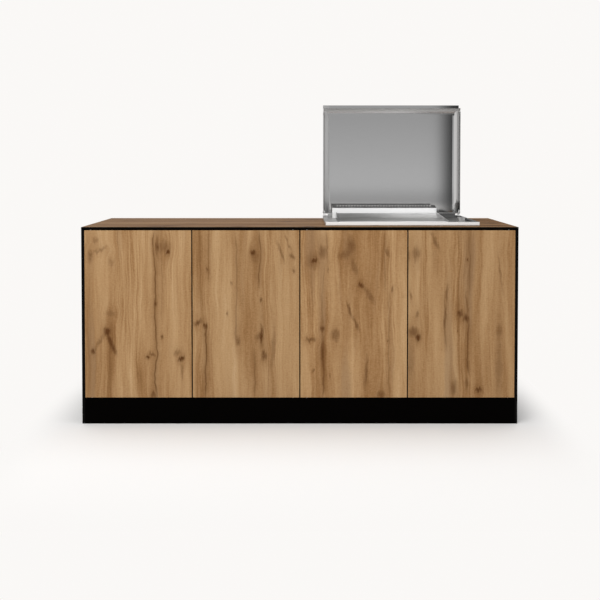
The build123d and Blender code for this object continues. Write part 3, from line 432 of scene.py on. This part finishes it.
def oak(name, across, along, face, seed, tone, knots=(), cracks=(), warmth=1.0):
    """Knotty oak with its grain along one axis on a board's two faces, and black on its edges."""
    made, tree, shader, place, normal = start(name)
    length = place[along]
    core, smear, push = knot_marks(tree, place[across], length, seed, knots)
    core = sums(tree, "MULTIPLY", core, KNOT_GAIN, True)
    smear = sums(tree, "MULTIPLY", smear, SMEAR_GAIN, True)
    sway = swing(tree, grain_noise(tree, place[across], length, 6.0, 2.4, seed), SWAY)
    width = sums(tree, "SUBTRACT", sums(tree, "ADD", place[across], sway), push)

    # Broad bands, staves, streaks, fibres and specks
    stave = add(tree, "ShaderNodeTexVoronoi", {"W": sums(tree, "ADD", width, seed), "Scale": STAVES},
                voronoi_dimensions="1D")
    stave_tone = add(tree, "ShaderNodeSeparateColor", {0: stave.outputs["Color"]}).outputs[0]
    fibre = grain_noise(tree, width, length, 380.0, 10.0, seed, 3.0, 0.65)
    pore = grain_noise(tree, width, length, 800.0, 60.0, seed, 1.0)
    bunches = grain_noise(tree, width, length, 10.0, 0.7, seed + 15.0, 1.0)
    bunched = fade(tree, bunches, 0.45, 0.62, 0.10, 0.95)
    layers = (
        (stave_tone, 0.14),
        (grain_noise(tree, width, length, 8.0, 0.8, seed + 2.0, 2.0), 1.10),
        (grain_noise(tree, width, length, 42.0, 1.5, seed + 5.0, 4.0, 0.55), 0.75),
        (grain_noise(tree, width, length, 120.0, 3.0, seed + 12.0, 3.0, 0.65), bunched),
        (fibre, 0.34),
        (grain_noise(tree, width, length, 110.0, 190.0, seed + 9.0, 3.0), 0.38),
    )
    level = total(tree, [swing(tree, part, share) for part, share in layers])
    colour = ramp(tree, sums(tree, "ADD", level, 0.5), OAK_TONES)

    # Smoky bands, then knots and cracks with the darker wood about them
    smoke = fade(tree, grain_noise(tree, width, length, 11.0, 0.9, seed + 7.0, 2.0), 0.56, 0.74, 0.0, 0.45)
    colour = mix(tree, smoke, colour, SMOKY)
    if knots:
        line, band, _ = crack_marks(tree, sums(tree, "SUBTRACT", place[across], push), length, seed, cracks)
        streaky = fade(tree, fibre, 0.25, 0.65, 0.55, 1.0)
        stains = ((smear, SMEAR_BROWN), (band, SMEAR_BROWN), (line, CRACK_BROWN), (core, KNOT_BROWN))
        for mask, stain in stains:
            colour = mix(tree, sums(tree, "MULTIPLY", mask, streaky), colour, stain)
    colour = mix(tree, fade(tree, pore, 0.60, 0.75, 0.0, 0.30), colour, CRACK_BROWN)
    colour = mix(tree, 1.0, colour, (tone, tone * warmth, tone * warmth ** 2, 1.0), "MULTIPLY")

    # Black edges
    faced = fade(tree, sums(tree, "ABSOLUTE", normal[face]), 0.80, 0.95)
    tree.links.new(mix(tree, faced, EDGE_BLACK, colour), shader.inputs["Base Color"])
    tree.links.new(fade(tree, fibre, 0.3, 0.7, 0.62, 0.50), shader.inputs["Roughness"])
    shader.inputs["Specular IOR Level"].default_value = OAK_GLOSS
    bump(tree, shader, grain_noise(tree, place[across], length, 380.0, 10.0, seed), OAK_RELIEF)
    return made


def board(name, colour, rough, gloss):
    """Coated black board with a fine orange-peel skin, deepest black on its front edge."""
    made, tree, shader, place, normal = start(name)
    spot = vector(tree, *place)
    skin = noise(tree, spot, 900.0, 2.0)
    cloud = noise(tree, spot, 4.0, 3.0)
    tree.links.new(fade(tree, cloud, 0.3, 0.7, rough - 0.06, rough + 0.06), shader.inputs["Roughness"])
    skin_black = mix(tree, cloud, colour, tuple(1.5 * c for c in colour[:3]) + (1.0,))
    edge = fade(tree, normal[1], -0.95, -0.85, 1.0, 0.0)
    tree.links.new(mix(tree, edge, skin_black, EDGE_BLACK), shader.inputs["Base Color"])
    shader.inputs["Specular IOR Level"].default_value = gloss
    bump(tree, shader, skin, BOARD_RELIEF)
    return made


def brushed(tree, across, along):
    """Fine brushing along one direction."""
    fine = sums(tree, "MULTIPLY", across, BRUSH_FINE)
    return noise(tree, vector(tree, fine, sums(tree, "MULTIPLY", along, BRUSH_LONG)), detail=2.0)


def steel(name, colour, rough):
    """Brushed sheet metal, with its brushing along X and a little uneven in tone."""
    made, tree, shader, place, _ = start(name)
    brush = brushed(tree, place[2], place[0])
    cloud = noise(tree, vector(tree, *place), 6.0, 3.0)
    worn = tuple((1.0 - TARNISH) * c for c in colour[:3]) + (1.0,)
    shade = sums(tree, "MULTIPLY", sums(tree, "ADD", brush, cloud), 0.5)
    tree.links.new(mix(tree, fade(tree, shade, 0.35, 0.65), worn, colour), shader.inputs["Base Color"])
    tree.links.new(fade(tree, brush, 0.3, 0.7, rough - 0.04, rough + 0.04), shader.inputs["Roughness"])
    shader.inputs["Metallic"].default_value = 1.0
    bump(tree, shader, brush, SHEET_RELIEF)
    return made


def lid_steel_painted_highlight(name, grey, smooth, dull):
    """The lid's sheet: smooth on its panel and lip, duller on the rolled top and left edges, with a painted
    highlight on the rolled top: a lighter grey and less metal.
    """
    made, tree, shader, place, _ = start(name)
    brush = brushed(tree, place[2], place[0])
    top_roll = sums(tree, "MULTIPLY", fade(tree, place[2], LID_ROLL_Z - 0.008, LID_ROLL_Z + 0.026),
                    fade(tree, place[2], LID_LIP_Z - 0.003, LID_LIP_Z, 1.0, 0.0))
    left_roll = fade(tree, place[0], LID_ROLL_X - 0.006, LID_ROLL_X + 0.012, 1.0, 0.0)
    # Painted highlight: the rolled top is a lighter grey and less metallic than the panel
    shade = fade(tree, top_roll, 0.3, 1.0, grey, ROLL_HIGHLIGHT_GREY)
    tint(tree, shader, sums(tree, "MULTIPLY", shade, fade(tree, brush, 0.35, 0.65, 0.97, 1.0)))
    rough = fade(tree, sums(tree, "MAXIMUM", top_roll, left_roll), 0.0, 1.0, smooth, dull)
    streaks = sums(tree, "MULTIPLY", brush, STREAK_ROUGH)
    tree.links.new(sums(tree, "ADD", rough, streaks), shader.inputs["Roughness"])
    tree.links.new(fade(tree, top_roll, 0.3, 1.0, 1.0, ROLL_HIGHLIGHT_METAL), shader.inputs["Metallic"])
    bump(tree, shader, brush, MIRROR_RELIEF)
    return made


def deck_steel(name, front_reflection, deck_reflection_left, deck_reflection_right, rough, deck_rough, front_reflection_to, deck_metal=1.0):
    """Folded sheet with painted reflections: upright faces at the front painted near white and mostly matt,
    and duller upper faces whose painted grey darkens from left to right.
    """
    made, tree, shader, place, normal = start(name)
    brush = brushed(tree, sums(tree, "ADD", place[1], place[2]), place[0])
    cloud = noise(tree, vector(tree, *place), 14.0, 3.0)
    # Painted reflection: the grey of the upper faces goes from light at the left to dark at the right
    along = fade(tree, place[0], *DECK_REFLECTION_X, deck_reflection_left, deck_reflection_right)
    shade = sums(tree, "MULTIPLY", along, fade(tree, cloud, 0.3, 0.7, 0.75, 1.10))
    grey = add(tree, "ShaderNodeCombineColor", {0: shade, 1: shade, 2: shade}).outputs[0]
    # Painted reflection: upright front faces take the near-white colour and little metal, upper and rear
    # faces the grey
    dull = sums(tree, "MAXIMUM", fade(tree, normal[2], 0.55, 0.90),
                fade(tree, place[1], front_reflection_to, front_reflection_to + 0.02))
    tree.links.new(mix(tree, dull, front_reflection, grey), shader.inputs["Base Color"])
    dullness = fade(tree, dull, 0.0, 1.0, rough, deck_rough)
    streaks = sums(tree, "MULTIPLY", brush, STREAK_ROUGH)
    tree.links.new(sums(tree, "ADD", dullness, streaks), shader.inputs["Roughness"])
    tree.links.new(fade(tree, dull, 0.0, 1.0, FRONT_METAL, deck_metal), shader.inputs["Metallic"])
    shader.inputs["Specular Tint"].default_value = GRAZING
    bump(tree, shader, brush, MIRROR_RELIEF)
    return made


def plate_painted_reflection(name, left, right, rough):
    """A ground cooking plate, its grey darker towards its left rear as a painted reflection."""
    made, tree, shader, place, _ = start(name)
    brush = brushed(tree, place[1], place[0])
    cloud = noise(tree, vector(tree, place[0], sums(tree, "MULTIPLY", place[1], 2.0), place[2]), 9.0, 3.0)
    # Painted reflection: the grey goes from dark at the left rear to light at the right front
    reflection_run = sums(tree, "ADD", place[0], sums(tree, "MULTIPLY", place[1], PLATE_REFLECTION_LEAN))
    along = fade(tree, reflection_run, *PLATE_REFLECTION_X, left, right)
    tint(tree, shader, sums(tree, "MULTIPLY", along, fade(tree, cloud, 0.3, 0.7, 0.85, 1.1)))
    tree.links.new(fade(tree, brush, 0.3, 0.7, rough - 0.05, rough + 0.05), shader.inputs["Roughness"])
    shader.inputs["Metallic"].default_value = 1.0
    shader.inputs["Specular Tint"].default_value = GRAZING
    bump(tree, shader, brush, PLATE_RELIEF)
    return made


def plain(name, colour, rough, scale, relief, metallic=0.0):
    """A moulded, cast or foamed piece with a speckled skin."""
    made, tree, shader, place, _ = start(name)
    skin = noise(tree, vector(tree, *place), scale, 3.0)
    dull = tuple(0.8 * c for c in colour[:3]) + (1.0,)
    tree.links.new(mix(tree, skin, dull, colour), shader.inputs["Base Color"])
    tree.links.new(fade(tree, skin, 0.3, 0.7, rough - 0.05, rough + 0.05), shader.inputs["Roughness"])
    shader.inputs["Metallic"].default_value = metallic
    bump(tree, shader, skin, relief)
    return made


# Materials by slot, and the nodes that need their own
finish = {
    "black_board": board("black_board", (0.0045, 0.0045, 0.0048, 1.0), 0.50, 0.06),
    "stainless": steel("stainless", (0.96, 0.955, 0.945, 1.0), 0.33),
    "zinc_steel": plain("zinc_steel", (0.55, 0.56, 0.58, 1.0), 0.38, 260.0, 0.00002, 1.0),
    "brass": plain("brass", (0.68, 0.48, 0.20, 1.0), 0.30, 300.0, 0.00002, 1.0),
    "pipe_metal": plain("pipe_metal", (0.70, 0.70, 0.68, 1.0), 0.34, 300.0, 0.00002, 1.0),
    "black_plastic": plain("black_plastic", (0.012, 0.012, 0.012, 1.0), 0.48, 700.0, 0.00004),
    "foam_seal": plain("foam_seal", (0.02, 0.02, 0.02, 1.0), 0.85, 1500.0, 0.0002),
}
own = {
    "plinth": board("plinth_black", (0.0003, 0.0003, 0.0003, 1.0), 0.5, 0.01),
    # The lid's rolled top carries a painted highlight
    "lid": lid_steel_painted_highlight("lid_steel_painted_highlight", 0.56, 0.05, 0.34),
    # The frame's and the flue's steel carry painted reflections: near-white matt fronts and greys on their
    # upper faces
    "grill_frame": deck_steel("frame_steel_painted_reflection", (0.99, 0.99, 0.985, 1.0), 0.90, 0.30, 0.06, 0.40, -0.22),
    "flue_box": deck_steel("flue_steel_painted_reflection", (0.99, 0.99, 0.99, 1.0), 0.95, 0.95, 0.06, 0.30, 0.25,
                           FRONT_METAL),
    "flue_cover": deck_steel("flue_cover_steel", (0.44, 0.44, 0.44, 1.0), 0.40, 0.40, 0.30, 0.30, 0.0),
    # The plate's grey darkens towards its left rear as a painted reflection
    "cooking_plate": plate_painted_reflection("plate_painted_reflection", 0.42, 0.95, 0.34),
    "control_knob": steel("knob_finish", (0.36, 0.36, 0.36, 1.0), 0.14),
    "hinge_ears": plain("ear_steel", (0.80, 0.80, 0.80, 1.0), 0.40, 300.0, 0.00001, 0.30),
}
for index, (door, tone) in enumerate(DOOR_TONE.items()):
    seed = DOOR_SEED + SEED_STEP * index
    own[door] = oak(door + "_oak", 0, 2, 1, seed, tone, KNOTS[door], CRACKS[door])
burner_steel = steel("burner_steel", (0.60, 0.595, 0.585, 1.0), 0.38)
for hidden in ("burner_tub", "plate_rails", "grease_cup", "burner", "burner_saddles"):
    own[hidden] = burner_steel
own["worktop"] = oak("worktop_oak", 1, 0, 2, WORKTOP_SEED, WORKTOP_TONE, WORKTOP_MARKS, warmth=WORKTOP_WARMTH)

for part in frame["record"]["subparts"]:
    node = part["node"]
    shown = NODES[node].data
    shown.materials.clear()
    shown.materials.append(own.get(node) or finish[part["material_slot"]])


def piece(name, points, faces):
    """A new mesh in the scene."""
    mesh = bpy.data.meshes.new(name)
    mesh.from_pydata(points, [], faces)
    made = bpy.data.objects.new(name, mesh)
    bpy.context.scene.collection.objects.link(made)
    return made


def collars(name, centres, tilt, ring, wall, height, turns=20, sides=10):
    """Round collars with rounded walls, tilted about the X axis, in one mesh."""
    points, faces = [], []
    for x, y, z in centres:
        first = len(points)
        for turn in range(turns):
            around = 2 * pi * turn / turns
            for side in range(sides):
                across = 2 * pi * side / sides
                reach = ring + wall / 2 * cos(across)
                flat_y, rise = reach * sin(around), height / 2 * (1 + sin(across))
                points.append((x + reach * cos(around), y + flat_y * cos(tilt) - rise * sin(tilt),
                               z + flat_y * sin(tilt) + rise * cos(tilt)))
        for turn in range(turns):
            for side in range(sides):
                here = first + turn * sides
                there = first + (turn + 1) % turns * sides
                after = (side + 1) % sides
                faces.append([here + side, there + side, there + after, here + after])
    made = piece(name, points, faces)
    for face in made.data.polygons:
        face.use_smooth = True
    return made


def strip(name, profile, left, right):
    """A folded strip: one profile in Y and Z, drawn along X."""
    count = len(profile)
    points = [(x, y, z) for x in (left, right) for y, z in profile]
    after = [(index + 1) % count for index in range(count)]
    faces = [[index, after[index], count + after[index], count + index] for index in range(count)]
    faces += [list(range(count))[::-1], list(range(count, 2 * count))]
    return piece(name, points, faces)


# Drawn collars round the flue cover's holes
COLLARS = 33
COLLAR_PITCH = 0.015
COLLAR_RING = 0.0039
COLLAR_WALL = 0.0010
COLLAR_HEIGHT = 0.0038
COVER_SHEET = 0.0015
(cover_x0, cover_y0, cover_z0), (cover_x1, cover_y1, cover_z1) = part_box("flue_cover")
cover_tilt = atan2(cover_z1 - cover_z0 - COVER_SHEET, cover_y1 - cover_y0)
cover_mid = ((cover_x0 + cover_x1) / 2, (cover_y0 + cover_y1) / 2, (cover_z0 + cover_z1 + COVER_SHEET) / 2)
offsets = [(index - (COLLARS - 1) / 2) * COLLAR_PITCH for index in range(COLLARS)]
centres = [(cover_mid[0] + offset, cover_mid[1], cover_mid[2]) for offset in offsets]
flue_collars = collars("flue_collars", centres, cover_tilt, COLLAR_RING, COLLAR_WALL, COLLAR_HEIGHT)
flue_collars.data.materials.append(finish["stainless"])
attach(flue_collars, "cabinet")

# A folded splash strip on the frame's rear rim, with a hem along its top
RIM_TOP = 0.922
STRIP_Y = 0.2945
STRIP_FOOT = 0.011
STRIP_RISE = 0.0125
STRIP_SHEET = 0.0012
STRIP_HEM = 0.0035
STRIP_X = (0.146, 0.816)
foot_top = RIM_TOP + STRIP_SHEET
strip_top = RIM_TOP + STRIP_RISE
splash = strip("splash_strip", [
    (STRIP_Y, RIM_TOP),
    (STRIP_Y + STRIP_FOOT, RIM_TOP),
    (STRIP_Y + STRIP_FOOT, foot_top),
    (STRIP_Y + STRIP_SHEET, foot_top),
    (STRIP_Y + STRIP_SHEET, strip_top - STRIP_HEM),
    (STRIP_Y + 2 * STRIP_SHEET, strip_top - STRIP_HEM),
    (STRIP_Y + 2 * STRIP_SHEET, strip_top - 0.4 * STRIP_SHEET),
    (STRIP_Y + 1.6 * STRIP_SHEET, strip_top),
    (STRIP_Y + 0.4 * STRIP_SHEET, strip_top),
    (STRIP_Y, strip_top - 0.4 * STRIP_SHEET),
], *STRIP_X)
# The strip takes the frame's steel, with its painted reflections
splash.data.materials.append(own["grill_frame"])
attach(splash, "cabinet")

# Floor and studio
PALE = srgb(250, 248, 246)


def seen(tree):
    """1 for rays from the camera, a mirror or glass, and 0 for the light that falls on things."""
    path = add(tree, "ShaderNodeLightPath").outputs
    either = sums(tree, "MAXIMUM", path["Is Camera Ray"], path["Is Glossy Ray"])
    return sums(tree, "MAXIMUM", either, path["Is Transmission Ray"])


def floor_material():
    """A matt floor that keeps its shadow near the object and goes over into the backdrop further out."""
    made = bpy.data.materials.new("floor_pale")
    made.use_nodes = True
    tree = made.node_tree
    tree.nodes.remove(tree.nodes["Principled BSDF"])
    place = add(tree, "ShaderNodeSeparateXYZ", {0: add(tree, "ShaderNodeTexCoord").outputs["Object"]}).outputs

    def past(axis, half):
        beyond = sums(tree, "SUBTRACT", sums(tree, "ABSOLUTE", place[axis]), half)
        return sums(tree, "MAXIMUM", beyond, 0.0)

    beside = past(0, HALF_WIDTH)
    before = past(1, HALF_DEPTH)
    spread = vector(tree, sums(tree, "MULTIPLY", beside, SIDE_FADE), before)
    away = add(tree, "ShaderNodeVectorMath", {0: spread}, operation="LENGTH").outputs["Value"]
    matt = add(tree, "ShaderNodeBsdfDiffuse", {"Color": FLOOR_MATT})
    glow = add(tree, "ShaderNodeEmission", {"Color": PALE, "Strength": 1.0})
    share = sums(tree, "MULTIPLY", seen(tree), fade(tree, away, FLOOR_NEAR, FLOOR_FAR))
    blend = add(tree, "ShaderNodeMixShader", {0: share, 1: matt.outputs[0], 2: glow.outputs[0]})
    tree.links.new(blend.outputs[0], tree.nodes["Material Output"].inputs["Surface"])
    return made


def sheet(name, corners, material):
    """One flat sheet of the studio."""
    made = piece(name, corners, [(0, 1, 2, 3)])
    made.data.materials.append(material)
    return made


HALF_WIDTH = 1.0
HALF_DEPTH = 0.35
FLOOR_MATT = (0.80, 0.79, 0.78, 1.0)
SIDE_FADE = 5.0
FLOOR_NEAR = 0.05
FLOOR_FAR = 1.3
FLOOR_HALF = 30.0
FLOOR_Z = -0.0005
sheet("floor", [(-FLOOR_HALF, -FLOOR_HALF, FLOOR_Z), (FLOOR_HALF, -FLOOR_HALF, FLOOR_Z),
                (FLOOR_HALF, FLOOR_HALF, FLOOR_Z), (-FLOOR_HALF, FLOOR_HALF, FLOOR_Z)], floor_material())


def card_material(name, shades, low, high, left, right, soft_left, soft_right):
    """Greys from a card's foot to its top, clear towards its two sides."""
    made = bpy.data.materials.new(name)
    made.use_nodes = True
    tree = made.node_tree
    tree.nodes.remove(tree.nodes["Principled BSDF"])
    place = add(tree, "ShaderNodeSeparateXYZ", {0: add(tree, "ShaderNodeTexCoord").outputs["Object"]}).outputs
    cover = sums(tree, "MULTIPLY", fade(tree, place[0], left, left + soft_left),
                 fade(tree, place[0], right - soft_right, right, 1.0, 0.0))
    span = {"Value": place[2], "From Min": low, "From Max": high}
    rise = add(tree, "ShaderNodeMapRange", span).outputs["Result"]
    stops = [((z - low) / (high - low), (shade, shade, shade, 1.0)) for z, shade in shades]
    clear = add(tree, "ShaderNodeBsdfTransparent")
    grey = add(tree, "ShaderNodeEmission", {"Color": ramp(tree, rise, stops), "Strength": 1.0})
    blend = add(tree, "ShaderNodeMixShader", {0: cover, 1: clear.outputs[0], 2: grey.outputs[0]})
    tree.links.new(blend.outputs[0], tree.nodes["Material Output"].inputs["Surface"])
    return made


def card(name, place_y, left, right, low, high, shades, soft_left, soft_right):
    """A card that only the metal sees."""
    corners = [(left, place_y, low), (right, place_y, low), (right, place_y, high), (left, place_y, high)]
    made = sheet(name, corners, card_material(name, shades, low, high, left, right, soft_left, soft_right))
    made.visible_camera = False
    made.visible_diffuse = False
    made.visible_transmission = False
    made.visible_shadow = False


# A grey and a dark card in front of the lid, a grey one to the right, a dark one behind the griddle's right
LID_GREYS = (
    (0.61, 0.34),
    (0.68, 0.45),
    (0.78, 0.60),
    (0.88, 0.71),
    (1.09, 0.69),
    (1.38, 0.63),
    (1.83, 0.54),
    (3.6, 0.50),
)
card("grey_card", -7.7, -2.6, 2.4, 0.61, 3.6, LID_GREYS, 1.2, 0.2)
card("dark_card", -7.6, 1.82, 3.4, 0.45, 3.6, ((0.45, 0.05), (3.6, 0.05)), 0.28, 0.4)
card("side_card", -4.6, 2.6, 16.0, 0.60, 4.0, ((0.60, 0.62), (4.0, 0.62)), 0.2, 0.5)
card("rear_card", 3.0, 1.10, 3.2, 0.0, 1.8, ((0.0, 0.05), (1.8, 0.05)), 0.1, 0.6)

# World: an even dome for light, and the pale backdrop for what the camera and the metal see
DOME_LIGHT = 0.62
world = bpy.data.worlds.new("studio")
bpy.context.scene.world = world
world.use_nodes = True
tree = world.node_tree
dome = tree.nodes["Background"]
dome.inputs["Color"].default_value = (1.0, 1.0, 1.0, 1.0)
dome.inputs["Strength"].default_value = DOME_LIGHT
drop = add(tree, "ShaderNodeBackground", {"Color": PALE, "Strength": 1.0})
both = add(tree, "ShaderNodeMixShader", {0: seen(tree), 1: dome.outputs[0], 2: drop.outputs[0]})
tree.links.new(both.outputs[0], tree.nodes["World Output"].inputs["Surface"])


def softbox(name, place, turn, size, power):
    """A large lamp that metal doesn't mirror."""
    lamp = bpy.data.lights.new(name, "AREA")
    lamp.shape = "RECTANGLE"
    lamp.size, lamp.size_y = size
    lamp.energy = power
    box = bpy.data.objects.new(name, lamp)
    box.location = place
    box.rotation_euler = [radians(angle) for angle in turn]
    box.visible_glossy = False
    bpy.context.scene.collection.objects.link(box)


KEY_WATTS = 160.0
TOP_WATTS = 110.0
softbox("key", (-1.6, -4.3, 4.2), (48.0, 0.0, -20.0), (4.0, 2.5), KEY_WATTS)
softbox("top", (0.0, 0.5, 5.0), (0.0, 0.0, 0.0), (5.0, 4.0), TOP_WATTS)

# Camera, looking a little down, with the lens shift that the photo's framing needs
LENS = 56.79
LENS_SHIFT = -0.1798
EYE_PLACE = (0.0008, -4.668, 1.2006)
EYE_TILT = 88.2
eye = bpy.data.cameras.new("camera")
eye.sensor_width = 36.0
eye.lens = LENS
eye.shift_y = LENS_SHIFT
camera = bpy.data.objects.new("camera", eye)
camera.location = EYE_PLACE
camera.rotation_euler = (radians(EYE_TILT), 0.0, 0.0)
bpy.context.scene.collection.objects.link(camera)
bpy.context.scene.camera = camera
bpy.context.scene.view_settings.view_transform = "Standard"
